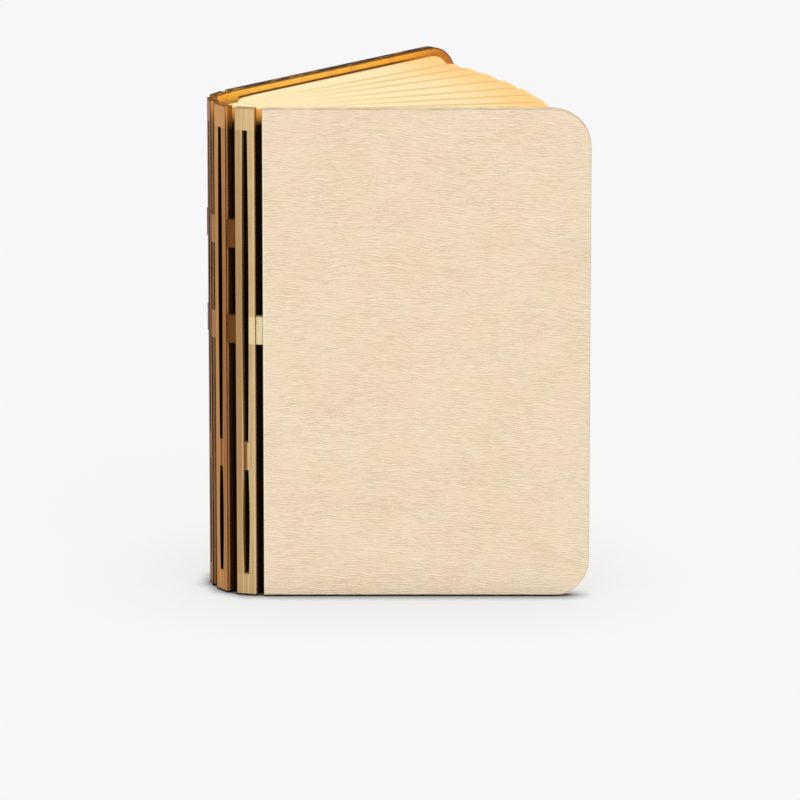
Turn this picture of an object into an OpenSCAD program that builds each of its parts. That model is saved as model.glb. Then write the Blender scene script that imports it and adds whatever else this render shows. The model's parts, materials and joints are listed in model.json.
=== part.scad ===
// Folding book lamp: two plywood covers joined by a slotted plywood spine, with a fan of
// paper leaves round a lit core. It stands on its bottom edges and opens like a book.
//
// Origin: middle of the front cover's bottom edge. +X runs from the spine to the front
// cover's free edge, +Y from the front cover towards the back cover, +Z up.
// Seen from above, the spine turns in five hinge lines. Each hinge line lies at mid
// thickness, and every bend grows or shrinks in step with the angle between the covers.

/* [Covers] */
// Height of a cover
board_h = 215; // [195:1:250]
// Width of a cover, from its spine edge to its free edge
board_w = 140; // [125:1:170]
// Thickness of the plywood
board_t = 4; // [3.6:0.1:4.4]
// Radius of the two corners at the free edge
fore_corner_r = 16.5; // [8:0.5:24]

/* [Opening] */
// Angle between the covers
opening = 46; // [20:1:90]
// Bend at the first and last hinge line with the covers shut
end_bend_shut = 10.7; // [8:0.1:14]
// Bend at the second and fourth hinge line with the covers shut
side_bend_shut = 58.7; // [55:0.1:62]
// Bend at the first and last hinge line with the covers folded back to back
end_bend_back = 33.5; // [32:0.1:36]
// Bend at the second and fourth hinge line with the covers folded back to back
side_bend_back = -82; // [-83:0.1:-81]

/* [Spine] */
// Distance from one hinge line to the next
pitch = 12; // [11:0.1:14]
// Gap between a cover and the spine bar beside it
end_gap = 2.9; // [2.6:0.1:3.4]
// Gap between two spine loops
loop_gap = 4; // [3.8:0.1:4.4]
// Width of the slot in a loop, at the slot's ends
slot_w = 2.2; // [1.2:0.1:2.8]
// How far each bar of a loop bows away at the middle of its slot
bar_bow = 0.4; // [0.1:0.1:0.6]
// Height of the solid block that joins a loop's two bars at each end
end_block_h = 9.5; // [6:0.5:14]
// Height of one bridge
bridge_h = 12; // [8:0.5:14]
// Height above the ground of the middle of the bridge inside a loop
slot_bridge_z = 62; // [50:1:80]
// Height of the middle of the bridge that every hinge line has
mid_bridge_z = 118; // [105:1:128]
// Height of the middle of the upper bridge, which the three inner hinge lines have
upper_bridge_z = 160; // [150:1:170]

/* [Pages] */
// Distance of the paper from the covers' top and bottom edges
page_inset = 3.8; // [2:0.1:8]
// Distance of the paper from the free edge, with the covers shut
page_fore_inset = 8; // [6:0.5:16]
// Radius of the paper's outer corners
page_corner_r = 15; // [8:0.5:22]
// Thickness of one sheet
sheet_t = 0.25; // [0.2:0.01:0.3]
// Width of a folded leaf at its root
leaf_root_w = 1.2; // [0.9:0.05:1.25]
// Radius of the circle on which the leaves' roots sit round the core
root_r = 9.3; // [9.2:0.1:9.6]
// Angle from one leaf's root to the next round that circle
root_step = 19.5; // [19:0.1:20]
// Width of the strip of each cover that the black spine cloth is glued to
cloth_flap_w = 11; // [8:0.5:16]
// Thickness of the black spine cloth
cloth_t = 0.4; // [0.2:0.1:0.6]

/* [Core] */
// Distance from the middle hinge line to the centre of the diffuser's curve
core_centre = 5; // [4.8:0.1:5.4]
// Outer radius of the diffuser
diffuser_r = 8.4; // [8.2:0.05:8.45]
// Wall of the diffuser
diffuser_t = 0.7; // [0.5:0.1:0.8]
// Distance of the core's ends from the covers' top and bottom edges
core_inset = 6; // [5:0.5:12]
// Thickness of the two end caps
cap_t = 2; // [1.5:0.1:3]
// Half width of the tray's back, where it is thickest
tray_flat = 1.2; // [1:0.1:2]
// Wall of the tray's two curved sides
tray_wall = 1.1; // [0.9:0.1:1.3]
// Thickness of the rib that sits in the middle gap of the spine
keel_t = 1.2; // [0.8:0.1:1.4]

/* [Electrics] */
// Distance from one light-emitting diode to the next
led_step = 11.5; // [8:0.5:12]
// Distance from the last diode to the end of the strip
led_end = 6; // [4:0.5:10]
// Width of the strip that carries the diodes
led_board_w = 7.2; // [6.4:0.1:7.2]
// Thickness of both circuit boards
circuit_t = 0.8; // [0.6:0.1:0.9]
// Thickness of a battery cell
cell_t = 2.8; // [2.2:0.1:2.9]
// Width of a battery cell
cell_w = 8.2; // [7:0.1:8.4]
// Length of a battery cell
cell_len = 62; // [50:1:66]
// Length of the charging circuit
charge_len = 26; // [22:1:30]
// Length of the leads between the charging circuit and the nearer cell
lead_run = 12; // [6:0.5:20]
// Diameter of the catch magnets near the covers' free edges
catch_d = 8; // [6:0.5:10]
// Thickness of every magnet
magnet_t = 2; // [1:0.1:2.4]
// Distance of a catch magnet's centre from the cover's free edge
catch_inset = 19; // [17:0.5:30]
// Distance of a catch magnet's centre from the cover's top or bottom edge
catch_z = 30; // [24:1:60]
// Diameter of the magnet that works the light's switch
switch_magnet_d = 5; // [4:0.5:6]

/* [Hidden] */
$fn = 64;
fit = 0.1;            // running clearance of the hinge tongues and of the magnets
gap = 0.3;            // clearance between pieces that pass each other
overlap = 0.05;       // joins two shapes of one piece

// Share of the opening that each leaf has turned through. The paper keeps its own creases,
// so the leaves stand closer together in the middle of the fan.
leaf_share = [0.10, 0.20, 0.32, 0.44, 0.575, 0.71, 0.81, 0.90];
leaf_count = len(leaf_share);

// Bend at each hinge line: shut, folded back, and at this opening.
mid_bend_shut = 180 - 2 * (end_bend_shut + side_bend_shut);
mid_bend_back = -180 - 2 * (end_bend_back + side_bend_back);
bend_shut = [end_bend_shut, side_bend_shut, mid_bend_shut, side_bend_shut, end_bend_shut];
bend_back = [end_bend_back, side_bend_back, mid_bend_back, side_bend_back, end_bend_back];
function bend(i) = bend_shut[i] + (bend_back[i] - bend_shut[i]) * opening / 360;

// Walking from the front cover round the spine to the back cover: heading after hinge
// line i, and the place of hinge line i seen from above.
function heading(i) = i < 0 ? 180 : heading(i - 1) - bend(i);
function hinge(i) = i == 0 ? [-board_w / 2 - end_gap / 2, 0]
                           : hinge(i - 1) + pitch * [cos(heading(i - 1)), sin(heading(i - 1))];

// Half of the gap at each hinge line, and the bridges' heights there.
half_gap = [end_gap / 2, loop_gap / 2, loop_gap / 2, loop_gap / 2, end_gap / 2];
bridges = [[mid_bridge_z], [mid_bridge_z, upper_bridge_z], [mid_bridge_z, upper_bridge_z],
           [mid_bridge_z, upper_bridge_z], [mid_bridge_z]];

page_z = page_inset;
page_h = board_h - 2 * page_inset;
core_z = core_inset + cap_t;
core_top = board_h - core_inset - cap_t;

// With the covers shut, hinge line 2 lies this far behind hinge line 0.
shut_depth = pitch * (cos(end_bend_shut) + cos(end_bend_shut + side_bend_shut));
// Place of a leaf's root in the core's own axes: x forwards, y across the fan.
function root_angle(n) = (n - (leaf_count - 1) / 2) * root_step;
function root_at(n) = [core_centre + root_r * cos(root_angle(n)), root_r * sin(root_angle(n))];
function leaf_len(n) = end_gap / 2 + board_w - page_fore_inset + shut_depth - root_at(n)[0];

// The tray's back clears the two middle loops and their cloth with the covers shut.
tray_slope = tan(mid_bend_shut / 2);
function tray_back(y) = (board_t / 2 + cloth_t) / cos(mid_bend_shut / 2) + tray_slope * y + 0.45;
tray_r = diffuser_r - diffuser_t - 0.2;      // outside of the tray's curved sides
tray_in = tray_r - tray_wall;
tray_edge = diffuser_r - 0.3;                // half width of the tray's back
tray_floor = tray_back(tray_edge) + 0.6;     // flat that carries the cells and the diffuser
lip_x = core_centre + 5.8;                   // front of the sides, where the diodes' strip lies
chip = [0.7, 2.8, 3.5];                      // one diode: thickness, width, height
port = [2.7, 7.4, 6];                        // charging socket: thickness, width, depth
sensor = [1.1, 3, 4];
lead_d = 1;
lead_y = 2;                                   // half the distance between the two leads of a pair
screw_d = 1.6;
screw_len = 8;
screw_head_d = 2.8;
screw_head_t = 0.9;
screw_x = (tray_back(0) + tray_floor) / 2;
cell_z = core_z + charge_len + lead_run;
cell_gap = 3;

wood = "burlywood";
charred = "peru";
paper = "cornsilk";
black = [0.12, 0.12, 0.13];
white = [0.93, 0.93, 0.92];

// ---------- places ----------

// A cover's own axes: origin on its hinge line, x towards its free edge.
module at_front_cover() translate([hinge(0)[0], hinge(0)[1], 0]) children();
module at_back_cover() translate([hinge(4)[0], hinge(4)[1], 0]) rotate(heading(4)) children();

// A loop's own axes: origin on the hinge line before it, x towards the next one,
// y outwards from the pages.
module at_loop(i) translate([hinge(i)[0], hinge(i)[1], 0]) rotate(heading(i)) children();

// The core's own axes: origin on the middle hinge line, x forwards into the fan.
module at_core() translate([hinge(2)[0], hinge(2)[1], 0]) rotate(opening / 2) children();

module at_leaf(n) at_core() translate([root_at(n)[0], root_at(n)[1], 0])
    rotate(leaf_share[n] * opening - opening / 2) children();

// ---------- shapes ----------

// Stands a flat outline up: its x stays x, its y becomes height, and it is thick along y.
module stand(thick, y = 0) translate([0, y + thick / 2, 0]) rotate([90, 0, 0])
    linear_extrude(thick) children();

// Rectangle with its two corners at the far end of x rounded.
module fore_rounded(w, h, r) {
    square([w - r, h]);
    translate([0, r]) square([w, h - 2 * r]);
    for (y = [r, h - r]) translate([w - r, y]) circle(r);
}

// Half of a bridge: a tongue whose round end turns about the hinge line at x = 0.
// It joins the piece that begins at x = reach.
module tongues(i) for (z = bridges[i]) translate([0, 0, z - bridge_h / 2]) {
    cylinder(d = board_t, h = bridge_h);
    translate([0, -board_t / 2, 0]) cube([half_gap[i] + overlap, board_t, bridge_h]);
}

// The other half: the hollow edge that the tongue's round end turns in.
module hollows(i) for (z = bridges[i]) translate([0, 0, z - bridge_h / 2 - fit])
    cylinder(d = board_t + 2 * fit, h = bridge_h + 2 * fit);

// Slot between a loop's two bars, from height z0 to z1. The bars bow apart between its ends.
module slot(z0, z1) {
    steps = 10;
    function half_w(s) = slot_w / 2 + bar_bow * sin(180 * s);
    sides = [for (s = [0 : 1 / steps : 1]) [half_w(s), z0 + (z1 - z0) * s]];
    polygon(concat([for (p = sides) [-p[0], p[1]]], [for (k = [steps : -1 : 0]) sides[k]]));
}

// ---------- covers ----------

// Disc-shaped pocket in a cover's inner face; side is +1 where y points to the pages.
module magnet_place(x, z, side, d, t, depth) translate([x, side * (board_t / 2 - depth), z])
    rotate([-90 * side, 0, 0]) cylinder(d = d, h = t);

catch_x = end_gap / 2 + board_w - catch_inset;
switch_x = end_gap / 2 + cloth_flap_w / 2 + 0.5;
switch_z = core_z + charge_len;
pocket_depth = magnet_t + fit;

module catch_places(side, d, t) for (z = [catch_z, board_h - catch_z])
    magnet_place(catch_x, z, side, d, t, pocket_depth);

module cover_plate(side) difference() {
    union() {
        translate([end_gap / 2, 0, 0]) stand(board_t) fore_rounded(board_w, board_h, fore_corner_r);
        tongues(0);
    }
    catch_places(side, catch_d + 2 * fit, pocket_depth + 1);
    children();
}

module front_board() color(wood) at_front_cover() cover_plate(1);

module back_board() color(wood) at_back_cover() cover_plate(-1)
    magnet_place(switch_x, switch_z, -1, switch_magnet_d + 2 * fit, pocket_depth + 1, pocket_depth);

module front_magnets() color("silver") at_front_cover() catch_places(1, catch_d, magnet_t);
module back_magnets() color("silver") at_back_cover() catch_places(-1, catch_d, magnet_t);
module switch_magnet() color("silver") at_back_cover()
    magnet_place(switch_x, switch_z, -1, switch_magnet_d, magnet_t, pocket_depth);

// Cloth and paper glued to a cover's inner face, side by side.
module cloth_flap(side) translate([end_gap / 2 + 0.2, 0, page_z + 1])
    stand(cloth_t, side * (board_t + cloth_t) / 2) square([cloth_flap_w, page_h - 2]);

module end_sheet(side) {
    start = end_gap / 2 + 0.2 + cloth_flap_w + gap;
    w = end_gap / 2 + board_w - page_fore_inset - start;
    translate([start, 0, page_z]) stand(sheet_t, side * (board_t + sheet_t) / 2)
        fore_rounded(w, page_h, page_corner_r);
}

module front_cloth_flap() color(black) at_front_cover() cloth_flap(1);
module back_cloth_flap() color(black) at_back_cover() cloth_flap(-1);
module front_end_sheet() color(paper) at_front_cover() end_sheet(1);
module back_end_sheet() color(paper) at_back_cover() end_sheet(-1);

// ---------- spine ----------

// One loop of the spine: two bars side by side, joined at both ends and by one bridge.
// The two loops next to the middle hinge line carry a hollow or a tongue there, and each
// loop has a hollow where the cover or loop beside it has its tongues.
loop_near = [for (i = [0 : 3]) half_gap[i]];
loop_far = [for (i = [0 : 3]) pitch - half_gap[i + 1]];
tongue_near = [false, false, false, true];   // loop carries the tongue of the hinge before it
tongue_far = [true, true, false, false];     // loop carries the tongue of the hinge after it

module loop_outline(i) difference() {
    translate([loop_near[i], 0]) square([loop_far[i] - loop_near[i], board_h]);
    translate([(loop_near[i] + loop_far[i]) / 2, 0]) {
        slot(end_block_h, slot_bridge_z - bridge_h / 2);
        slot(slot_bridge_z + bridge_h / 2, board_h - end_block_h);
    }
}

module spine_loop(i) color(charred) at_loop(i) difference() {
    union() {
        stand(board_t) loop_outline(i);
        if (tongue_near[i]) tongues(i);
        if (tongue_far[i]) translate([pitch, 0, 0]) mirror([1, 0, 0]) tongues(i + 1);
    }
    if (!tongue_near[i]) hollows(i);
    if (!tongue_far[i]) translate([pitch, 0, 0]) hollows(i + 1);
}

module spine_cloth(i) color(black) at_loop(i)
    translate([loop_near[i] + 0.2, 0, page_z + 1]) stand(cloth_t, -(board_t + cloth_t) / 2)
        square([loop_far[i] - loop_near[i] - 0.4, page_h - 2]);

// ---------- pages ----------

// One leaf: two sheets that meet in the crease at the free edge and stand apart at the root.
module leaf(n) color(paper) at_leaf(n) {
    len_n = leaf_len(n);
    root_back = 0.3;
    half = leaf_root_w / 2;
    intersection() {
        translate([0, 0, page_z]) linear_extrude(page_h) difference() {
            polygon([[-root_back, -half], [len_n, -sheet_t], [len_n, sheet_t], [-root_back, half]]);
            polygon([[-root_back - 1, sheet_t - half], [len_n - 4, 0], [-root_back - 1, half - sheet_t]]);
        }
        translate([-root_back, 0, page_z]) stand(leaf_root_w * 2)
            fore_rounded(len_n + root_back, page_h, page_corner_r);
    }
}

// ---------- core ----------

// The tray's back, thickest in the middle, where it faces the spine.
module tray_back_bar(z0, z1) translate([0, 0, z0]) linear_extrude(z1 - z0)
    polygon([[tray_back(tray_flat), -tray_flat], [tray_back(tray_edge), -tray_edge],
             [tray_floor, -tray_edge], [tray_floor, tray_edge],
             [tray_back(tray_edge), tray_edge], [tray_back(tray_flat), tray_flat]]);

// What lies inside a radius about the diffuser's centre, from x0 to x1.
module round_front(r, x0, x1, z0, z1) intersection() {
    translate([core_centre, 0, z0]) cylinder(r = r, h = z1 - z0);
    translate([x0, -2 * r, z0 - 1]) cube([x1 - x0, 4 * r, z1 - z0 + 2]);
}

module core_tray() color(white) at_core() difference() {
    union() {
        tray_back_bar(core_z, core_top);
        difference() {
            round_front(tray_r, tray_floor - overlap, lip_x, core_z, core_top);
            translate([tray_floor, 0, 0]) cells_space();
        }
        keel();
    }
    for (z = [core_z, core_top]) screw_hole(z - screw_len, 2 * screw_len);
}

module cells_space() translate([core_centre - tray_floor, 0, core_z - 1]) intersection() {
    cylinder(r = tray_in, h = core_top - core_z + 2);
    translate([tray_floor - core_centre, -2 * tray_in, -1])
        cube([4 * tray_in, 4 * tray_in, core_top - core_z + 4]);
}

// Rib that reaches back into the middle gap of the spine, between its bridges.
module keel() {
    keel_tip = 0.9;
    ends = [core_z + 4, mid_bridge_z - bridge_h / 2 - 2, mid_bridge_z + bridge_h / 2 + 2,
            upper_bridge_z - bridge_h / 2 - 2, upper_bridge_z + bridge_h / 2 + 2, core_top - 4];
    for (k = [0, 2, 4]) translate([keel_tip, -keel_t / 2, ends[k]])
        cube([tray_back(tray_flat) - keel_tip + 0.4, keel_t, ends[k + 1] - ends[k]]);
}

module core_diffuser() color("ivory") at_core() difference() {
    round_front(diffuser_r, tray_floor, 2 * lip_x, core_z, core_top);
    round_front(diffuser_r - diffuser_t, tray_floor - 1, 2 * lip_x, core_z - 1, core_top + 1);
}

// One end cap, with the outline of the whole core.
module core_cap(z) difference() {
    union() {
        tray_back_bar(z, z + cap_t);
        round_front(diffuser_r, tray_floor - overlap, 2 * lip_x, z, z + cap_t);
    }
    screw_hole(z - overlap, cap_t + 2 * overlap);
}

module screw_hole(z, h) translate([screw_x, 0, z]) cylinder(d = screw_d + 2 * fit, h = h);

// The charging socket's pill-shaped outline, grown by extra all round.
port_x = tray_floor + circuit_t + port[0] / 2;
module port_block(extra, z, h) translate([port_x, 0, z]) {
    r = port[0] / 2 + extra;
    y = (port[1] - port[0]) / 2;
    for (s = [-1, 1]) translate([0, s * y, 0]) cylinder(r = r, h = h);
    translate([-r, -y, 0]) cube([2 * r, 2 * y, h]);
}

module core_top_cap() color(white) at_core() core_cap(core_top);

module core_bottom_cap() color(white) at_core() difference() {
    core_cap(core_z - cap_t);
    port_block(0.25, core_z - cap_t - 1, cap_t + 2);
}

module cap_screw() {
    cylinder(d = screw_d, h = screw_len - 1);
    translate([0, 0, -cap_t]) cylinder(d = screw_d, h = cap_t);
    translate([0, 0, -cap_t - screw_head_t]) cylinder(d = screw_head_d, h = screw_head_t);
}

module cap_screws() color("silver") at_core() {
    translate([screw_x, 0, core_z]) cap_screw();
    translate([screw_x, 0, core_top]) mirror([0, 0, 1]) cap_screw();
}

// ---------- electrics ----------

led_count = floor((core_top - core_z - 2 * gap - 2 * led_end) / led_step) + 1;
led_board_len = (led_count - 1) * led_step + 2 * led_end;
led_z = (core_z + core_top - led_board_len) / 2;

module led_board() color(white) at_core()
    translate([lip_x, -led_board_w / 2, led_z]) cube([circuit_t, led_board_w, led_board_len]);

module led_chips() color("khaki") at_core() for (k = [0 : led_count - 1])
    translate([lip_x + circuit_t, -chip[1] / 2, led_z + led_end - chip[2] / 2 + k * led_step])
        cube(chip);

module battery_cells() color("silver") at_core() for (k = [0, 1])
    translate([tray_floor, -cell_w / 2, cell_z + k * (cell_len + cell_gap)])
        cube([cell_t, cell_w, cell_len]);

charge_board_w = 9.4;
module charge_board() color("darkgreen") at_core()
    translate([tray_floor, -charge_board_w / 2, core_z]) cube([circuit_t, charge_board_w, charge_len]);

module charge_socket() color("silver") at_core() difference() {
    port_block(0, core_z, port[2]);
    port_block(-0.35, core_z - 1, port[2]);
}

module cover_sensor() color(black) at_core()
    translate([tray_floor + circuit_t, -sensor[1] / 2, core_z + charge_len - sensor[2] - 3]) cube(sensor);

module cell_leads() color("firebrick") at_core() for (s = [-1, 1])
    translate([tray_floor + lead_d / 2, s * lead_y, core_z + charge_len])
        cylinder(d = lead_d, h = cell_z - core_z - charge_len);

module led_leads() color("firebrick") at_core() for (s = [-1, 1])
    translate([tray_floor + circuit_t, s * lead_y, led_z + 1.5 * led_end])
        rotate([0, 90, 0]) cylinder(d = lead_d, h = lip_x - tray_floor - circuit_t);

// ---------- the lamp ----------

front_board();
back_board();
spine_loop(0);  // spine_loop_1
spine_loop(1);  // spine_loop_2
spine_loop(2);  // spine_loop_3
spine_loop(3);  // spine_loop_4
spine_cloth(0);  // spine_cloth_1
spine_cloth(1);  // spine_cloth_2
spine_cloth(2);  // spine_cloth_3
spine_cloth(3);  // spine_cloth_4
front_cloth_flap();
back_cloth_flap();
front_end_sheet();
back_end_sheet();
leaf(0);  // leaf_1
leaf(1);  // leaf_2
leaf(2);  // leaf_3
leaf(3);  // leaf_4
leaf(4);  // leaf_5
leaf(5);  // leaf_6
leaf(6);  // leaf_7
leaf(7);  // leaf_8
core_tray();
core_diffuser();
core_top_cap();
core_bottom_cap();
cap_screws();
led_board();
led_chips();
battery_cells();
charge_board();
charge_socket();
cover_sensor();
cell_leads();
led_leads();
front_magnets();
back_magnets();
switch_magnet();
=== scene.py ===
"""Folding book lamp: plywood covers and slotted spine, a fan of lit paper leaves, black cloth."""

import json
import math

import bpy
from mathutils import Matrix, Vector


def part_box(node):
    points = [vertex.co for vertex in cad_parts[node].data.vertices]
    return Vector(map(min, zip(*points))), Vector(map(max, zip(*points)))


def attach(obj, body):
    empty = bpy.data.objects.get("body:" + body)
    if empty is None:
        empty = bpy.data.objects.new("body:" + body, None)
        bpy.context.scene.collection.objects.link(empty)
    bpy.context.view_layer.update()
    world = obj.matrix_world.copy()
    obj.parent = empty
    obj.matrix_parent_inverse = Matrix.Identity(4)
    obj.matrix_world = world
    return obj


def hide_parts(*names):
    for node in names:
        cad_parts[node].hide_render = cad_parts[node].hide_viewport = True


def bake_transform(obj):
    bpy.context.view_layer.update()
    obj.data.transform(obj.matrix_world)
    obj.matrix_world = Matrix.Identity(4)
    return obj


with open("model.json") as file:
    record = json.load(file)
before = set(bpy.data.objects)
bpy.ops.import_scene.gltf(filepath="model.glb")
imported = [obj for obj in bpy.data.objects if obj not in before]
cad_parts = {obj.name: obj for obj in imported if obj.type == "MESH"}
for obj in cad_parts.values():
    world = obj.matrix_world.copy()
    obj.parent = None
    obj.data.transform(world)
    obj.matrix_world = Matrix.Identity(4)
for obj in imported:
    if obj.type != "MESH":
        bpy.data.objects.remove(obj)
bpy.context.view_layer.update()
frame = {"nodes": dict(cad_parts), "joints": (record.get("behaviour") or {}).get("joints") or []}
nodes = frame["nodes"]

MM = 0.001

# Hinge lines seen from above, at rest, and the direction of each piece after its line.
at = {j["name"]: Vector(j["pos_m"]) for j in frame["joints"]}
lines = [at["spine_fold_1"], at["spine_fold_2"], at["middle_fold_front"], at["spine_fold_4"],
         at["spine_fold_5"]]


def direction(a, b):
    return math.atan2(b.y - a.y, b.x - a.x)


# Headings in radians, from the front cover's free edge round the spine to the back cover's. The
# back cover's is the opening, and the core keeps to the middle of it.
FRONT = math.pi
BACK = math.radians(46)
CORE = BACK / 2
loop_heading = [direction(lines[i], lines[i + 1]) for i in range(4)]

# Sizes in mm.
END_GAP = 1.45                  # from an outer hinge line to the wood
LOOP_GAP = 2.0                  # from an inner hinge line to the wood
PITCH = 12.0                    # from one hinge line of the spine to the next
BOARD_T, BOARD_W, BOARD_H = 4.0, 140.0, 215.0
CLOTH_T, PAPER_T = 0.4, 0.24
COVER_EDGE = END_GAP + BOARD_W
CORNER_R = 16.5
SLOT_BRIDGE_Z = 62.0            # middle of the bridge that joins a loop's two bars
MID_BRIDGE_Z = 118.0            # middle of the bridge in every gap
PAGE_Z = 3.8                    # the paper's inset from the covers' top and foot
PAGE_TOP = BOARD_H - PAGE_Z
SHADE_Z = PAGE_TOP + 0.5        # where the end paper's top edge throws its shadow line


# ---------- camera ----------

camera_data = bpy.data.cameras.new("camera")
camera_data.lens = 325.6
camera_data.sensor_width = 36
camera_data.shift_y = -0.0946
camera_data.clip_end = 50
camera = bpy.data.objects.new("camera", camera_data)
camera.location = (-0.01136, -3.0, 0.87872)
camera.rotation_euler = (math.radians(90 - 14.185), 0, 0)
bpy.context.scene.collection.objects.link(camera)
bpy.context.scene.camera = camera
bpy.context.scene.view_settings.view_transform = "Standard"


# ---------- finishes ----------

# The pages' warm light on the wood round them: by the spine, half way, by the fore edge.
PAGE_LIGHT = ((1.0, 0.48, 0.058), (0.95, 0.385, 0.025), (0.62, 0.205, 0.02))


def screen(r, g, b):
    """A colour read off a screen, 0 to 255, as linear light."""
    return tuple(c / 12.92 if c <= 0.04045 else ((c + 0.055) / 1.055) ** 2.4
                 for c in (r / 255, g / 255, b / 255))


class Reading:
    """A node's output; arithmetic on it adds Math nodes."""

    def __init__(self, finish, socket):
        self.finish, self.socket = finish, socket

    def math(self, operation, *others):
        """One operation on this reading, such as its sine, or the smaller of it and another."""
        return self.finish.node("ShaderNodeMath", {"operation": operation},
                                dict(enumerate((self, *others))))

    def __add__(self, other):
        return self.math("ADD", other)

    def __sub__(self, other):
        return self.math("SUBTRACT", other)

    def __rsub__(self, other):
        return self.finish.node("ShaderNodeMath", {"operation": "SUBTRACT"}, {0: other, 1: self})

    def __mul__(self, other):
        return self.math("MULTIPLY", other)

    def __truediv__(self, other):
        return self.math("DIVIDE", other)

    def __pow__(self, other):
        return self.math("POWER", other)

    def __abs__(self):
        return self.math("ABSOLUTE")

    __radd__, __rmul__ = __add__, __mul__


class Nodes:
    """A node tree, of a material or of a shape, built one node at a time."""

    def __init__(self, tree):
        self.tree = tree

    def node(self, kind, settings=None, sockets=None, out=0):
        """Adds a node; sockets are given as readings or as plain values."""
        made = self.tree.nodes.new(kind)
        for name, value in (settings or {}).items():
            if name == "stops":
                ramp = made.color_ramp.elements
                while len(ramp) < len(value):
                    ramp.new(0.5)
                for stop, (place, colour) in zip(ramp, value):
                    stop.position, stop.color = place, (*colour, 1)
            else:
                setattr(made, name, value)
        for name, value in (sockets or {}).items():
            socket = made.inputs[name]
            if isinstance(value, Reading):
                self.tree.links.new(value.socket, socket)
            else:
                socket.default_value = (*value, 1) if socket.type == "RGBA" else value
        return Reading(self, made.outputs[out]) if made.outputs else None

    def scaled(self, vector, scale):
        """The vector times another, part by part."""
        return self.node("ShaderNodeVectorMath", {"operation": "MULTIPLY"}, {0: vector, 1: scale})

    def parts(self, vector):
        """The vector's x, y and z."""
        x = self.node("ShaderNodeSeparateXYZ", sockets={0: vector})
        return [Reading(self, s) for s in x.socket.node.outputs]

    def noise(self, vector, scale, detail=2.0, roughness=0.5):
        return self.node("ShaderNodeTexNoise", None, {
            "Vector": self.scaled(vector, scale), "Scale": 1.0, "Detail": detail,
            "Roughness": roughness})

    def step(self, value, low, high):
        """A soft step: 0 up to low, 1 from high on. It falls if high is the lower."""
        return self.node("ShaderNodeMapRange", {"interpolation_type": "SMOOTHSTEP"},
                         {"Value": value, "From Min": low, "From Max": high})

    def band(self, value, half, soft):
        """1 where the value is nearer to 0 than half, falling to 0 at soft."""
        return 1 - self.step(abs(value), half, soft)

    def mix(self, share, a, b, how="MIX"):
        """Colour a, with the given share of colour b."""
        return self.node("ShaderNodeMix", {"data_type": "RGBA", "blend_type": how},
                         {0: share, 6: a, 7: b}, 2)


def tinted(colour, *factors):
    """A colour times one factor, or one for each of red, green and blue, and no more than 1."""
    return tuple(min(1, c * k) for c, k in zip(colour, factors * (3 // len(factors))))


class Finish(Nodes):
    """One material."""

    def __init__(self, name):
        self.material = bpy.data.materials.new(name)
        self.material.use_nodes = True
        super().__init__(self.material.node_tree)
        self.tree.nodes.clear()

    def place(self, pivot=(0, 0, 0), heading=0.0):
        """Object coordinates in mm, seen from a hinge line and along a piece."""
        object_at = self.node("ShaderNodeTexCoord", out="Object")
        turned = self.node("ShaderNodeMapping", {"vector_type": "TEXTURE"}, {
            "Vector": object_at, "Location": tuple(pivot), "Rotation": (0, 0, heading)})
        return self.scaled(turned, (1 / MM, 1 / MM, 1 / MM))

    def flat_place(self):
        """A sheet's own flat map in mm: along it and up from the ground."""
        flat_map = self.node("ShaderNodeUVMap", {"uv_map": "sheet"})
        p = self.scaled(flat_map, (1 / MM, 1 / MM, 1 / MM))
        return [p, *self.parts(p)[:2]]

    def facing(self, way):
        """How far the surface faces a way: 1 straight towards it, -1 straight away."""
        return self.node("ShaderNodeVectorMath", {"operation": "DOT_PRODUCT"}, {
            0: self.node("ShaderNodeTexCoord", out="Normal"), 1: way}, "Value")

    def surface(self, constants, **varying):
        """Ends the material in one shader; relief is a height in mm."""
        sockets = dict(constants)
        relief = varying.pop("relief", None)
        if relief is not None:
            sockets["Normal"] = self.node("ShaderNodeBump", None, {
                "Height": relief, "Strength": 1.0, "Distance": MM})
        for name, value in varying.items():
            sockets[name.replace("_", " ")] = value
        shader = self.node("ShaderNodeBsdfPrincipled", None, sockets)
        self.node("ShaderNodeOutputMaterial", None, {"Surface": shader})
        return self.material


SOOT = screen(12, 7, 4)


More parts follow.
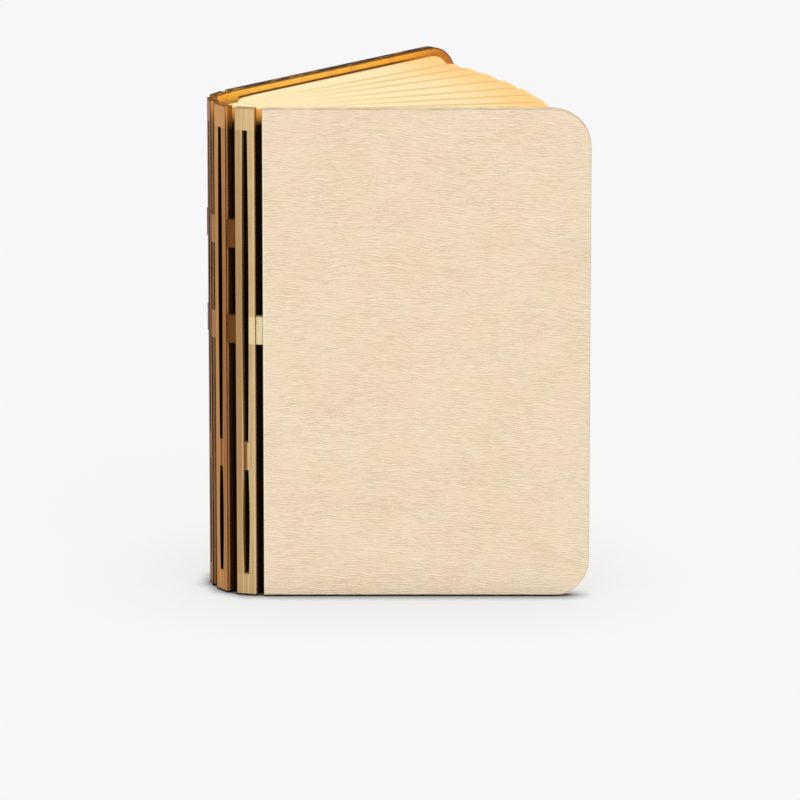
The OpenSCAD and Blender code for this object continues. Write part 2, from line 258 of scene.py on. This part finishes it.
def plywood(name, pivot, heading, tones, inner_side, long_edges, pale_cut=0.05, grain=1.0,
            fore_edge=None, tongue=None, slot_tone=SOOT, shades=(0.0, 0.0), pale_patch=0.0):
    """Laser-cut plywood, in mm from its hinge line.

    tones: cream, rosy and yellow patches of its face
    inner_side: +1 or -1 for the face towards the pages
    long_edges: the x of its upright edges
    pale_cut: how pale its cut ends and a cover's upright edges are
    grain: strength of the grain across the cover, below 1 for the spine's loops
    fore_edge: the x of a cover's rounded free edge; a loop has none
    tongue: the x past which the piece is a bridge, and the bridge's colour
    slot_tone: the cut inside the slot
    shades: how much darker the bars before and past the slot are
    pale_patch: how pale the first bar is beside its neighbour's bridge"""
    f = Finish(name)
    is_loop = not fore_edge
    p = f.place(pivot, heading)
    x, y, z = f.parts(p)
    facing = f.facing((-math.sin(heading), math.cos(heading), 0))
    cut = 1 - f.step(abs(facing), 0.35, 0.8)
    end_cut = cut * f.step(abs(f.facing((0, 0, 1))), 0.3, 0.7)
    flank = cut - end_cut

    # The grain runs across the cover in fine relief lines that bend in long soft waves, dip a
    # little towards the free edge and break off.
    bend = f.noise(p, (0.03, 0.0, 0.045), 1) - 0.5
    ripple = f.noise(p, (0.13, 0.0, 0.11), 2, 0.55) - 0.5
    rise = z + x * 0.05 + bend * 5 + ripple * 2.2
    wavy = f.node("ShaderNodeCombineXYZ", None, {0: x, 1: y * 0.2, 2: rise})
    line_step = 1.12
    turns = (rise / line_step + f.noise(wavy, (0.12, 0.3, 0.4), 2, 0.5) * 1.8) * (2 * math.pi)
    broken = f.step(f.noise(wavy, (0.22, 0.4, 0.8), 2), 0.34, 0.62)
    patches = f.step(f.noise(p, (0.05, 0.05, 0.07), 2), 0.36, 0.64)
    lines = turns.math("SINE") * (broken * 0.75 + 0.25) * (patches * 0.3 + 0.7) * grain
    strands = f.noise(wavy, (0.03, 0.4, 0.5), 2, 0.5)
    streaks = f.noise(p, (1.5, 0.5, 0.035), 3, 0.6)
    pores = f.step(f.noise(wavy, (0.45, 1.0, 2.6), 1), 0.69, 0.78) * grain

    rosy = f.step(f.noise(p, (0.04, 0.05, 0.06), 2), 0.42, 0.66)
    yellow = f.step(f.noise(f.scaled(p, (1, 1, -1)), (0.035, 0.05, 0.05), 2), 0.45, 0.68)
    wood = f.mix(rosy * 0.6, tones[0], tones[1])
    wood = f.mix(yellow * 0.6, wood, tones[2])
    past_slot = f.step(x, PITCH / 2 - 1, PITCH / 2 + 1)
    shade = (past_slot * (shades[1] - shades[0]) + shades[0]) * (1 - f.step(z, 120, 205) * 0.45)
    shade = shade * (f.step(z, 15, 60) * 0.35 + 0.65)
    wood = f.mix(shade, wood, tinted(tones[1], 0.62, 0.46, 0.33))
    marked = tinted(tones[0], 0.64, 0.575, 0.485)
    raised = tinted(tones[0], 1.15, 1.18, 1.25)
    wood = f.mix(f.step(lines * -1, 0.1, 0.9) * 0.3, wood, marked)
    wood = f.mix(f.step(lines, 0.1, 0.9) * 0.55, wood, raised)
    wood = f.mix((1 - f.step(strands, 0.36, 0.5)) * 0.06, wood, marked)
    wood = f.mix((1 - f.step(streaks, 0.38, 0.52)) * (1 - grain) * 0.5, wood,
                 tinted(tones[1], 0.62))
    wood = f.mix(pores * 0.15, wood, marked)
    if is_loop:         # its end blocks differ in tone; the bridge between its bars is darker brown, painted shade in the slot
        wood = f.mix((1 - f.step(z, 9.2, 9.8)) * 0.6, wood, tinted(tones[1], 0.9))
        wood = f.mix(f.step(z, 205.2, 205.8) * 0.6, wood, tinted(tones[0], 1.1))
        shaded_slot_bridge = f.band(x - PITCH / 2, 0.9, 1.2) * f.band(z - SLOT_BRIDGE_Z, 8, 9)
        wood = f.mix(shaded_slot_bridge * 0.85, wood, f.mix(f.step(streaks, 0.35, 0.6), screen(84, 44, 6),
                                                   screen(124, 78, 32)))
    if pale_patch:
        patch = f.band(z - MID_BRIDGE_Z, 5.6, 6.4) * (1 - f.step(x, 4.5, 5.1))
        wood = f.mix(patch * pale_patch, wood, screen(236, 212, 166))

    # Round its outline a face is singed. A pale line runs along a bar's upright edges and a cover's
    # spine edge: painted edge highlight, partly the pale veneer at the cut.
    edge = BOARD_H / 2 - abs(z - BOARD_H / 2)
    if fore_edge:
        past = (x - (fore_edge - CORNER_R)).math("MAXIMUM", 0.0)
        up = (CORNER_R - edge).math("MAXIMUM", 0.0)
        edge = CORNER_R - (past * past + up * up) ** 0.5
    veneer_and_edge_highlight = sum(f.band(x - e, 0.12, 0.45) for e in long_edges)
    wood = f.mix(veneer_and_edge_highlight * 0.5, wood, tinted(tones[0], 1.3))
    wood = f.mix((1 - f.step(edge, 0.1, 0.36)) * 0.45, wood, screen(136, 94, 60))

    # A cut edge is charred: smoky patches on the ends. A flank darkens from its outer to its inner
    # side, partly the laser's char and partly painted shade where it turns into the gap.
    smoke = f.noise(p, (0.12, 0.5, 0.08), 3, 0.6)
    layers = f.noise(p, (0.02, 2.6, 0.02), 1)
    char = f.node("ShaderNodeValToRGB", {"stops": [
        (0.42, screen(36, 15, 1)), (0.52, screen(60, 29, 2)), (0.57, screen(104, 61, 14)),
        (0.65, screen(172, 118, 62))]}, {0: smoke + (layers - 0.5) * 0.15})
    pale = f.mix(f.step(smoke, 0.35, 0.65), tinted(tones[0], 1.1), tinted(tones[1], 0.8))
    outward = 0.5 - y * (inner_side / BOARD_T) + (streaks - 0.5) * 0.2
    flank_char_and_shade = f.node("ShaderNodeValToRGB", {"stops": [
        (0.1, screen(38, 17, 6)), (0.42, screen(66, 31, 11)), (0.61, screen(40, 18, 7)),
        (0.67, screen(166, 118, 74)), (0.82, screen(184, 134, 86)), (0.87, screen(60, 32, 16)),
        (1.0, screen(104, 64, 38))]}, {0: outward})
    in_slot = f.mix(f.step(streaks, 0.35, 0.6), tinted(slot_tone, 0.5), slot_tone)
    flank_char_and_shade = f.mix(f.band(x - PITCH / 2, 2.4, 2.9), flank_char_and_shade, in_slot)
    colour = f.mix(end_cut, wood, f.mix(pale_cut, char, pale))
    colour = f.mix(flank, colour, flank_char_and_shade if is_loop else f.mix(pale_cut, flank_char_and_shade, pale))
    if tongue:
        past_gap, tone = tongue
        on_bridge = f.step(x, past_gap - 0.1, past_gap + 0.1)
        if past_gap < PITCH / 2:
            on_bridge = 1 - on_bridge
        colour = f.mix(on_bridge, colour, f.mix(f.step(streaks, 0.3, 0.55), tinted(tone, 0.7),
                                                tone))
        colour = f.mix(f.band(x - past_gap, 0.08, 0.3) * 0.7, colour, tinted(tone, 0.3))
    # A near-black strip at the foot of every face: painted contact shadow where it meets the floor,
    # partly the singed bottom edge.
    contact_shadow_and_singe = 1 - f.step(z, 0.55, 0.95)
    colour = f.mix(contact_shadow_and_singe, colour, screen(12, 8, 5))

    # Light of the pages: on the inner face above the paper, and a little way down the gaps.
    inner = f.step(facing * inner_side, 0.35, 0.8)
    above = f.step(z, 150, 208) * 0.85 + 0.15
    warm = f.mix(f.step(x, 40, 112), *PAGE_LIGHT[:2])
    warm = f.mix(f.step(x, 104, 138), warm, PAGE_LIGHT[2])
    redder = f.mix(1, warm, (0.8, 0.58, 0.4), "MULTIPLY")
    warm = f.mix((1 - f.step(z, 211.6, 213.6)) * 0.6, warm, redder)
    # The painted light is broken by streaks and specks, standing for the leaves' shadows on the
    # wood.
    dull = f.noise(p, (0.15, 0.3, 0.05), 3, 0.6)
    speckle = f.step(f.noise(p, (0.9, 0.9, 0.9), 3, 0.7), 0.4, 0.75)
    shadow = f.band(z - SHADE_Z, 0.25, 0.75) * (1 - f.step(x, 100, 132))
    lit = inner * above * (1.1 - speckle * 0.25 - f.step(dull, 0.45, 0.65) * 0.18)
    lit = lit * (1 - shadow * 0.9) * (1 - f.step(edge, 0.75, 0.35) * 0.8)
    warm = f.mix(lit.math("MINIMUM", 1.0), (0, 0, 0), warm)
    # Where the pages' painted light falls, the inner faces' own colour is turned near black and the
    # emission stands in for their lit look.
    return f.surface(
        {"Specular IOR Level": 0.03, "Emission Strength": 1.0},
        Base_Color=f.mix(inner * above, colour, tinted(tones[1], 0.03)),
        Roughness=0.66 + (strands - 0.5) * 0.2 + cut * 0.15,
        Emission_Color=f.mix(flank * f.step(z, 204, 214), warm, (0.26, 0.095, 0.012)),
        relief=lines * 0.1 + (streaks - 0.5) * (1 - grain) * 0.12 - pores * 0.05
        + cut * (layers - 0.5) * 0.05)


def paper(name):
    """Tough translucent paper, lit from the core behind it; its flat map starts at the spine."""
    f = Finish(name)
    p, along, up = f.flat_place()
    fibres = f.noise(p, (0.5, 0.12, 1.0), 4, 0.65)
    clouds = f.noise(p, (0.05, 0.03, 1.0), 3)
    from_top = PAGE_TOP - up
    out = f.step(along + (clouds - 0.5) * 20, 88, 147)
    rising = (1 - f.step(from_top, 0.5, 6.0)) * f.step(along, 60, 130)
    warmth = (out + rising * 0.4).math("MINIMUM", 1.0)
    glow = f.mix(warmth, (0.645, 0.57, 0.345), (0.65, 0.44, 0.175))
    glow = f.mix(f.step(fibres, 0.35, 0.7) * 0.1, glow, (0.54, 0.46, 0.26))
    tint = f.mix(warmth, f.mix(clouds, screen(150, 142, 124), screen(158, 147, 126)),
                 screen(154, 128, 84))
    # A darker line along each leaf's top edge, stronger towards the fore edge: painted shade where
    # the top edge meets the leaf behind.
    line = (1 - f.step(from_top, 0.15, 0.6)) * (f.step(along, 20, 90) * 0.5 + 0.1)
    return f.surface(
        {"Roughness": 0.7, "Specular IOR Level": 0.1, "Emission Strength": 1.0},
        Base_Color=f.mix(line, tint, screen(120, 84, 40)),
        Emission_Color=f.mix(line, glow, (0.60, 0.36, 0.14)), relief=fibres * 0.04)


def woven(name, light, lapped_from):
    """Black spine cloth, a plain weave on the sheet's own flat map. The pages light its top, and
    past lapped_from, in mm along it, the end paper shades it."""
    f = Finish(name)
    p, along, up = f.flat_place()
    turn = 2 * math.pi / 0.9        # a pair of threads takes 0.9 mm
    warp = (along * turn).math("SINE")
    weft = (up * turn).math("SINE")
    over = warp * weft
    worn = f.noise(p, (0.2, 0.1, 1.0), 3)
    thread = abs(warp) * 0.5 + abs(weft) * 0.5
    colour = f.mix(f.step(over, -0.8, 0.9), screen(9, 5, 3), screen(26, 19, 14))
    colour = f.mix(f.step(worn, 0.5, 0.8) * 0.5, colour, screen(32, 27, 22))
    shadow = f.band(up - SHADE_Z, 0.25, 0.75)
    lapped = f.step(along, lapped_from, lapped_from + 2)
    lit = f.step(up, 206.5, 214.5) * (over * 0.05 + 0.95) * (1 - shadow * 0.8 * lapped)
    return f.surface({"Specular IOR Level": 0.05, "Emission Strength": 1.0},
                     Base_Color=colour, Roughness=0.85 + over * 0.08,
                     Emission_Color=f.mix(lit, (0, 0, 0), light),
                     relief=over * 0.06 + thread * 0.04)


def moulded(name, base, shade, rough, glow=(0, 0, 0), glow_strength=0.0, keel=0.0):
    """Moulded plastic with a fine spark texture. keel is how far from the middle hinge line, in
    mm, the spine's black glue covers it."""
    f = Finish(name)
    p = f.place(at["middle_fold_front"], CORE)
    spark = f.noise(p, (3.2, 3.2, 3.2), 2, 0.6)
    flow = f.noise(p, (0.2, 0.2, 0.04), 2)
    colour = f.mix(flow, base, shade)
    if keel:
        colour = f.mix(f.step(f.parts(p)[0], keel - 0.3, keel), screen(12, 9, 7), colour)
    return f.surface({"Specular IOR Level": 0.4, "Emission Strength": glow_strength},
                     Base_Color=colour, Roughness=rough + (spark - 0.5) * 0.2,
                     Emission_Color=f.mix(flow * 0.3, glow, tinted(glow, 0.8)),
                     relief=spark * 0.02)


def metal(name, base, rough, brushed=(0.3, 0.3, 3.0)):
    """Bare or plated metal with fine marks; brushed is their fineness along x, y and z."""
    f = Finish(name)
    p = f.place()
    marks = f.noise(p, brushed, 3, 0.6)
    dull = f.noise(p, (0.4, 0.4, 0.4), 2)
    return f.surface({"Metallic": 1.0},
                     Base_Color=f.mix(dull, base, tinted(base, 0.75)),
                     Roughness=rough + (marks - 0.5) * 0.25, relief=marks * 0.01)


def circuit(name, mask, trace):
    """Circuit board: solder mask over thin tracks."""
    f = Finish(name)
    p = f.place(at["middle_fold_front"], CORE)
    y, z = f.parts(p)[1:]
    tracks = f.node("ShaderNodeTexBrick", {"offset": 0.35}, {
        "Vector": f.node("ShaderNodeCombineXYZ", None, {0: z, 1: y, 2: 0}), "Color1": (1, 1, 1),
        "Color2": (0.8, 0.8, 0.8), "Mortar": (0, 0, 0), "Scale": 0.5, "Mortar Size": 0.05,
        "Brick Width": 2.2, "Row Height": 0.9}, "Fac")
    grime = f.noise(p, (0.7, 0.7, 0.7), 3)
    colour = f.mix(tracks, mask, trace)
    return f.surface({"Specular IOR Level": 0.5}, Base_Color=f.mix(grime * 0.3, colour, mask),
                     Roughness=0.35 + tracks * 0.15, relief=tracks * 0.03)


def add(name, mesh):
    piece = bpy.data.objects.new(name, mesh)
    bpy.context.scene.collection.objects.link(piece)
    return piece


def dress(node, material):
    """Gives every slot of a solid the material."""
    mesh = nodes[node].data
    for slot in range(max(1, len(mesh.materials))):
        if len(mesh.materials) <= slot:
            mesh.materials.append(material)
        else:
            mesh.materials[slot] = material


maple = (screen(237, 218, 190), screen(238, 212, 184), screen(233, 215, 178))
toasted = (screen(208, 178, 130), screen(203, 168, 121), screen(198, 169, 119))
brown = (screen(200, 150, 98), screen(190, 131, 78), screen(194, 146, 90))
dark = (screen(156, 122, 100), screen(142, 106, 82), screen(150, 114, 84))

dress("front_board", plywood("front cover plywood", lines[0], 0, maple, 1, [END_GAP + 0.3], 0.9,
                             fore_edge=COVER_EDGE, tongue=(END_GAP, screen(232, 208, 162))))
dress("back_board", plywood("back cover plywood", lines[4], BACK, maple, -1, [END_GAP],
                            fore_edge=COVER_EDGE))
bar_edges = [2.0, 4.9, 7.1, 10.0]
# The loops' tongues across the gaps to their neighbours are coloured darker brown: painted shade
# deep in the narrow gaps.
gap_shade_brown = screen(106, 64, 30)
# Of each loop: its tones, its tongue, the cut in its slot, pale_cut, shades and pale_patch.
for i, (tones, tongue, slot_tone, pale_cut, shades, pale_patch) in enumerate((
        (toasted, (PITCH - LOOP_GAP, gap_shade_brown), screen(152, 118, 58), 0.8, (0.08, 0.8), 0.75),
        (brown, (PITCH - LOOP_GAP, screen(170, 122, 84)), SOOT, 0.3, (0.75, 0.2), 0.0),
        (dark, None, SOOT, 0.2, (0.1, 0.1), 0.0),
        (brown, (LOOP_GAP, gap_shade_brown), SOOT, 0.1, (0.1, 0.3), 0.0))):
    dress(f"spine_loop_{i + 1}",
          plywood(f"spine plywood {i + 1}", lines[i], loop_heading[i], tones, -1, bar_edges,
                  pale_cut, grain=0.3, tongue=tongue, slot_tone=slot_tone, shades=shades,
                  pale_patch=pale_patch))


# ---------- the fan of leaves ----------

def leaf_shape():
    """A folded leaf standing along +X: two sheets from its two root creases to the fold at the
    free edge, whose top and bottom corners are rounded."""
    tree = bpy.data.node_groups.new("folded leaf", "GeometryNodeTree")
    face = tree.interface
    for name, kind in (("Length", "NodeSocketFloat"), ("Height", "NodeSocketFloat"),
                       ("Base", "NodeSocketFloat"), ("Corner Radius", "NodeSocketFloat"),
                       ("Fold Half Width", "NodeSocketFloat"), ("Bulge", "NodeSocketFloat"),
                       ("Left Crease", "NodeSocketVector"), ("Right Crease", "NodeSocketVector"),
                       ("Columns", "NodeSocketInt"), ("Rows", "NodeSocketInt"),
                       ("Paper", "NodeSocketMaterial")):
        face.new_socket(name, in_out="INPUT", socket_type=kind)
    face.new_socket("Leaf", in_out="OUTPUT", socket_type="NodeSocketGeometry")
    g = Nodes(tree)
    inputs = g.node("NodeGroupInput").socket.node.outputs
    given = {s.name: Reading(g, s) for s in inputs if s.name}

    grid = g.node("GeometryNodeMeshGrid", None, {
        "Size X": 2.0, "Size Y": 2.0, "Vertices X": given["Columns"], "Vertices Y": given["Rows"]})
    u, v = g.parts(g.node("GeometryNodeInputPosition"))[:2]
    share = 0.5 - (u * math.pi).math("COSINE") * 0.5          # 0 at the fold, 1 at the root
    side = u.math("SIGN")
    left = u.math("GREATER_THAN", 0.0)

    # The root is the left crease's x and y on the left sheet, and the right one's on the right.
    a, b = g.parts(given["Left Crease"]), g.parts(given["Right Crease"])
    root_x, root_y = (b[k] + (a[k] - b[k]) * left for k in range(2))
    length, radius = given["Length"], given["Corner Radius"]
    x = length + (root_x - length) * share
    belly = (share * math.pi).math("SINE") * given["Bulge"]
    y = side * given["Fold Half Width"] * (1 - share) + root_y * share + side * belly
    reach = (radius - (length - x)).math("MAXIMUM", 0.0)
    drop = radius - (radius * radius - reach * reach + 1e-12) ** 0.5    # kept above zero
    height = given["Height"]
    z = given["Base"] + height * 0.5 + v * (height * 0.5 - drop)
    # The flat map is stored before the grid is moved, as it is worked out from the grid.
    mapped = g.node(
        "GeometryNodeStoreNamedAttribute", {"data_type": "FLOAT2", "domain": "CORNER"}, {
            "Geometry": grid, "Name": "sheet",
            "Value": g.node("ShaderNodeCombineXYZ", None, {0: x - root_x, 1: z, 2: 0})})
    stood = g.node("GeometryNodeSetPosition", None, {
        "Geometry": mapped, "Position": g.node("ShaderNodeCombineXYZ", None, {0: x, 1: y, 2: z})})
    real = g.node("GeometryNodeRealizeInstances", None, {"Geometry": stood})
    done = g.node("GeometryNodeSetMaterial", None, {"Geometry": real, "Material": given["Paper"]})
    g.node("NodeGroupOutput", None, {"Leaf": done})
    return tree


def grown(name, tree, values, thickness):
    """Runs a shape's tree with the given named sizes, gives it walls, returns the plain mesh."""
    start = add(name + " start", bpy.data.meshes.new(name + " start"))
    modifier = start.modifiers.new("shape", "NODES")
    modifier.node_group = tree
    for item in tree.interface.items_tree:
        if item.item_type == "SOCKET" and item.in_out == "INPUT" and item.name in values:
            modifier[item.identifier] = values[item.name]
    walls = start.modifiers.new("thickness", "SOLIDIFY")
    walls.thickness, walls.offset, walls.use_even_offset = thickness, -1, True
    seen = start.evaluated_get(bpy.context.evaluated_depsgraph_get())
    mesh = bpy.data.meshes.new_from_object(seen)
    mesh.name = name
    bpy.data.objects.remove(start)
    return mesh


def turned(point, heading, start):
    """The place on the ground of a point given along and beside a heading from start."""
    c, s = math.cos(heading), math.sin(heading)
    return Vector((start.x + c * point[0] - s * point[1], start.y + s * point[0] + c * point[1], 0))


CORE_CENTRE = turned((5 * MM, 0), CORE, at["middle_fold_front"])
CREASE_R = 9.05 * MM                    # the leaves' root creases stand on this circle
ROOT_STEP = math.radians(19.5)
MIDDLE_LEAF = 3.5                       # counted from 0
LEAF_SHARE = (0.10, 0.20, 0.32, 0.44, 0.575, 0.71, 0.81, 0.90)      # of the opening

lit_paper = paper("lit paper")
shape = leaf_shape()
for n, part in enumerate(LEAF_SHARE):
    root = at[f"leaf_turn_{n + 1}"]
    heading = part * BACK
    creases = []
    for half in (0.5, -0.5):
        spot = CORE + (n - MIDDLE_LEAF + half) * ROOT_STEP
        creases.append(turned((CREASE_R, 0), spot, CORE_CENTRE) - root)
    back = Matrix.Rotation(-heading, 3, "Z")
    left, right = (back @ c for c in creases)
    low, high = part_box(f"leaf_{n + 1}")
    solid = nodes[f"leaf_{n + 1}"].data
    reach = max((Vector((v.co.x, v.co.y, 0)) - root).length for v in solid.vertices)
    mesh = grown(f"paper_leaf_{n + 1}", shape, {
        "Length": reach, "Height": high.z - low.z, "Base": low.z, "Corner Radius": 15 * MM,
        "Fold Half Width": 0.25 * MM, "Bulge": 0.1 * MM, "Left Crease": left, "Right Crease": right,
        "Columns": 81, "Rows": 15, "Paper": lit_paper}, PAPER_T * MM)
    mesh.transform(Matrix.Translation(root) @ Matrix.Rotation(heading, 4, "Z"))
    leaf = add(f"paper_leaf_{n + 1}", mesh)
    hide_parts(f"leaf_{n + 1}")
    away = turned((1, 0), heading, Vector((0, 0, 0)))
    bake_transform(leaf)


# ---------- cloth behind the spine and the paper on the covers ----------

def mapped_sheet(name, points, faces, flat, material):
    """A piece with the given points and faces, each point mapped to its place on the flat sheet."""
    mesh = bpy.data.meshes.new(name)
    mesh.from_pydata(points, [], faces)
    layer = mesh.uv_layers.new(name="sheet")
    for loop in mesh.loops:
        layer.data[loop.index].uv = flat[loop.vertex_index]
    mesh.materials.append(material)
    return add(name, mesh)


def strip(name, path, low, high, thickness, material, rows=24):
    """A sheet standing along a path seen from above, and the path's length."""
    points, faces, flat = [], [], []
    run = [0.0]
    for a, b in zip(path, path[1:]):
        run.append(run[-1] + (b - a).length)
    for k in range(rows + 1):
        z = low + (high - low) * k / rows
        for p, r in zip(path, run):
            points.append((p.x, p.y, z))
            flat.append((r, z))
    wide = len(path)
    for k in range(rows):
        for j in range(wide - 1):
            a = k * wide + j
            faces.append((a, a + 1, a + wide + 1, a + wide))
    piece = mapped_sheet(name, points, faces, flat, material)
    walls = piece.modifiers.new("thickness", "SOLIDIFY")
    walls.thickness, walls.offset = thickness, 0
    return piece, run[-1]


LAYER = (BOARD_T / 2 + CLOTH_T / 2) * MM        # from mid wood to mid cloth
CLOTH_LOW, CLOTH_TOP = 0.15 * MM, 214.2 * MM
NEVER = 999                     # past the end of every piece
headings = [FRONT, *loop_heading, BACK]

# Of each hinge line: its finish, half its gap, how far the cloth reaches before and after it and
# how far it stands off the wood to leave slack, in mm.
near_cloth = woven("black spine cloth", (0.90, 0.40, 0.07), NEVER)
far_cloth = woven("black spine cloth, far side", (0.95, 0.37, 0.033), NEVER)
lapped_cloth = woven("black spine cloth under the end paper", (1.0, 0.46, 0.05), 6)
cloths = [near_cloth, near_cloth, near_cloth, far_cloth, lapped_cloth]
half_gaps = [END_GAP, LOOP_GAP, LOOP_GAP, LOOP_GAP, END_GAP]
cloth_reach = [(12.3, 2.2), (9.8, 2.3), (9.7, 9.7), (2.3, 9.8), (2.2, 12.3)]
slack = [0.2, 0.9, 0.9, 0.9, 0.2]


def cloth_run(i):
    """The cloth's path over hinge line i."""
    before, after = headings[i], headings[i + 1]
    gap = half_gaps[i] * MM
    first, last = (k * MM for k in cloth_reach[i])
    path = [turned((-first + (first - gap) * k / 4, -LAYER), before, lines[i]) for k in range(5)]
    bulge = LAYER + slack[i] * MM
    middle = (before + after) / 2
    path += [turned((gap * 0.42 * s, -bulge), middle, lines[i]) for s in (-1, 0, 1)]
    path += [turned((gap + (last - gap) * k / 4, -LAYER), after, lines[i]) for k in range(5)]
    return path


def hang(name, i, path, start, end, replaced):
    """Cloth glued to the wood over hinge line i, in place of the parts it replaces."""
    piece, run = strip(name, path, CLOTH_LOW, CLOTH_TOP, CLOTH_T * MM, cloths[i])
    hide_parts(*replaced)
    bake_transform(piece)


def edge_at(i, s):
    """The point of a hinge's gap where the wood before (s = -1) or after (s = 1) it begins."""
    h = headings[i] if s < 0 else headings[i + 1]
    return turned((s * half_gaps[i] * MM, -LAYER), h, lines[i])


hang("cloth_hinge_1", 0, cloth_run(0), edge_at(0, -1), edge_at(0, 1),
     ["front_cloth_flap", "spine_cloth_1"])
hang("cloth_hinge_2", 1, cloth_run(1), edge_at(1, -1), edge_at(1, 1),
     [])
# Over the middle hinge line the cloth is glued to the core, so it is two pieces that meet there.
middle = cloth_run(2)
glued = middle[6]
hang("cloth_hinge_3", 2, middle[:7], edge_at(2, -1), glued,
     ["spine_cloth_2"])
hang("cloth_hinge_4", 2, middle[6:], glued, edge_at(2, 1),
     ["spine_cloth_3"])
hang("cloth_hinge_5", 3, cloth_run(3), edge_at(3, -1), edge_at(3, 1),
     [])
hang("cloth_hinge_6", 4, cloth_run(4), edge_at(4, -1), edge_at(4, 1),
     ["spine_cloth_4", "back_cloth_flap"])


# ---------- core and its electrics ----------

finishes = {
    "core_plastic": moulded("white tray plastic", screen(214, 212, 205), screen(204, 200, 190),
                            0.45, keel=3.2),
    "diffuser": moulded("milky diffuser", screen(230, 214, 176), screen(224, 204, 160), 0.4,
                        screen(255, 222, 150), 0.8),
    "board_white": circuit("white circuit board", screen(214, 214, 208), screen(190, 188, 176)),
    "board_green": circuit("green circuit board", screen(20, 74, 46), screen(38, 112, 70)),
    "diode": moulded("diode resin", screen(232, 196, 92), screen(238, 206, 120), 0.3,
                     screen(255, 214, 130), 2.0),
    "foil": metal("cell foil", (0.72, 0.73, 0.75), 0.38, (0.6, 0.6, 0.6)),
    "socket": metal("socket steel", (0.62, 0.62, 0.63), 0.28),
    "sensor": moulded("sensor case", screen(26, 26, 28), screen(34, 34, 36), 0.5),
    "lead": moulded("lead cover", screen(150, 28, 24), screen(122, 20, 18), 0.42),
    "magnet": metal("magnet plating", (0.70, 0.69, 0.66), 0.22),
    "screw": metal("screw steel", (0.55, 0.54, 0.53), 0.3),
}
for node, finish in {
        "core_tray": "core_plastic", "core_top_cap": "core_plastic",
        "core_bottom_cap": "core_plastic", "core_diffuser": "diffuser", "led_board": "board_white",
        "led_chips": "diode", "charge_board": "board_green", "battery_cells": "foil",
        "charge_socket": "socket", "cover_sensor": "sensor", "cell_leads": "lead",
        "led_leads": "lead", "front_magnets": "magnet", "back_magnets": "magnet",
        "switch_magnet": "magnet", "cap_screws": "screw"}.items():
    dress(node, finishes[finish])


def end_paper(name, node, body, heading, pivot, inner_side):
    """The paper glued on a cover and over the edge of the cloth, mapped flat from the spine
    outwards; its free corners follow the cover's."""
    corner, last = CORNER_R - PAGE_Z, COVER_EDGE - PAGE_Z
    on_cloth, on_wood = 2.43, 2.02
    # Each column's distance from the hinge line, its height over mid wood, and how far it is cut
    # in at top and foot: a small rounding at the spine, level over the cloth and then the wood,
    # and the free corners.
    columns = [(4.4, on_cloth, 2.6), (4.8, on_cloth, 1.5), (5.6, on_cloth, 0.7),
               (6.8, on_cloth, 0.2), (8.4, on_cloth, 0.0), (12.2, on_cloth, 0.0),
               (13.1, on_wood, 0.0), (last - corner, on_wood, 0.0)]
    columns += [(last - corner * (1 - math.sin(math.radians(a))), on_wood,
                 corner * (1 - math.cos(math.radians(a)))) for a in range(6, 91, 6)]
    points, flat, wide = [], [], len(columns)
    for thick in (0.0, 0.2):
        for top in (0, 1):
            for x, height, drop in columns:
                spot = turned((x * MM, inner_side * (height + thick) * MM), heading, pivot)
                z = (PAGE_TOP - drop if top else PAGE_Z + drop) * MM
                points.append((spot.x, spot.y, z))
                flat.append((x * MM, z))
    faces = []
    for j in range(wide - 1):
        under = (j, j + 1, j + 1 + wide, j + wide)
        seen = tuple(k + 2 * wide for k in under)
        faces += [under, seen[::-1], (j, j + 2 * wide, j + 1 + 2 * wide, j + 1),
                  (j + wide, j + wide + 1, j + 3 * wide + 1, j + 3 * wide)]
    for j, step in ((0, 1), (wide - 1, -1)):
        faces.append((j, j + wide, j + 3 * wide, j + 2 * wide)[::step])
    if inner_side < 0:
        faces = [face[::-1] for face in faces]
    piece = mapped_sheet(name, points, faces, flat, lit_paper)
    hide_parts(node)
    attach(piece, body)


end_paper("front_end_paper", "front_end_sheet", "front_cover", 0, lines[0], 1)
end_paper("back_end_paper", "back_end_sheet", "back_cover", BACK, lines[4], -1)


# ---------- floor and light ----------

FLOOR_REACH = 12.0      # m each way
floor_mesh = bpy.data.meshes.new("floor")
floor_mesh.from_pydata([(a * FLOOR_REACH, b * FLOOR_REACH, 0) for a, b in (
    (-1, -1), (1, -1), (1, 1), (-1, 1))], [], [(0, 1, 2, 3)])


def pale_floor():
    """A plain floor with a broad soft shade round the lamp and a narrow dark one at its foot."""
    f = Finish("pale floor")
    near, contact = (f.node("ShaderNodeAmbientOcclusion", {"samples": samples},
                            {"Distance": distance}, "AO")
                     for samples, distance in ((16, 0.075), (12, 0.008)))
    touching = (1 - (1 - contact) * 1.6).math("MAXIMUM", 0.0)
    shaded = (1 - (1 - near) * 0.25) * touching
    return f.surface(
        {"Base Color": (0.12, 0.12, 0.12), "Roughness": 0.9, "Specular IOR Level": 0.0,
         "Emission Strength": 1.0},
        Emission_Color=f.mix(shaded, (0, 0, 0), (0.81, 0.81, 0.81)))


floor_mesh.materials.append(pale_floor())
floor = add("floor", floor_mesh)

world = bpy.data.worlds.new("studio")
bpy.context.scene.world = world
world.use_nodes = True
sky = world.node_tree.nodes["Background"]
sky.inputs["Color"].default_value = (0.93, 0.93, 0.93, 1)
sky.inputs["Strength"].default_value = 1.0

sun_data = bpy.data.lights.new("soft key", "SUN")
sun_data.energy = 0.5
sun_data.angle = math.radians(50)
sun = bpy.data.objects.new("soft key", sun_data)
sun.rotation_euler = Vector((-0.45, 0.75, -0.62)).to_track_quat("-Z", "Y").to_euler()
bpy.context.scene.collection.objects.link(sun)
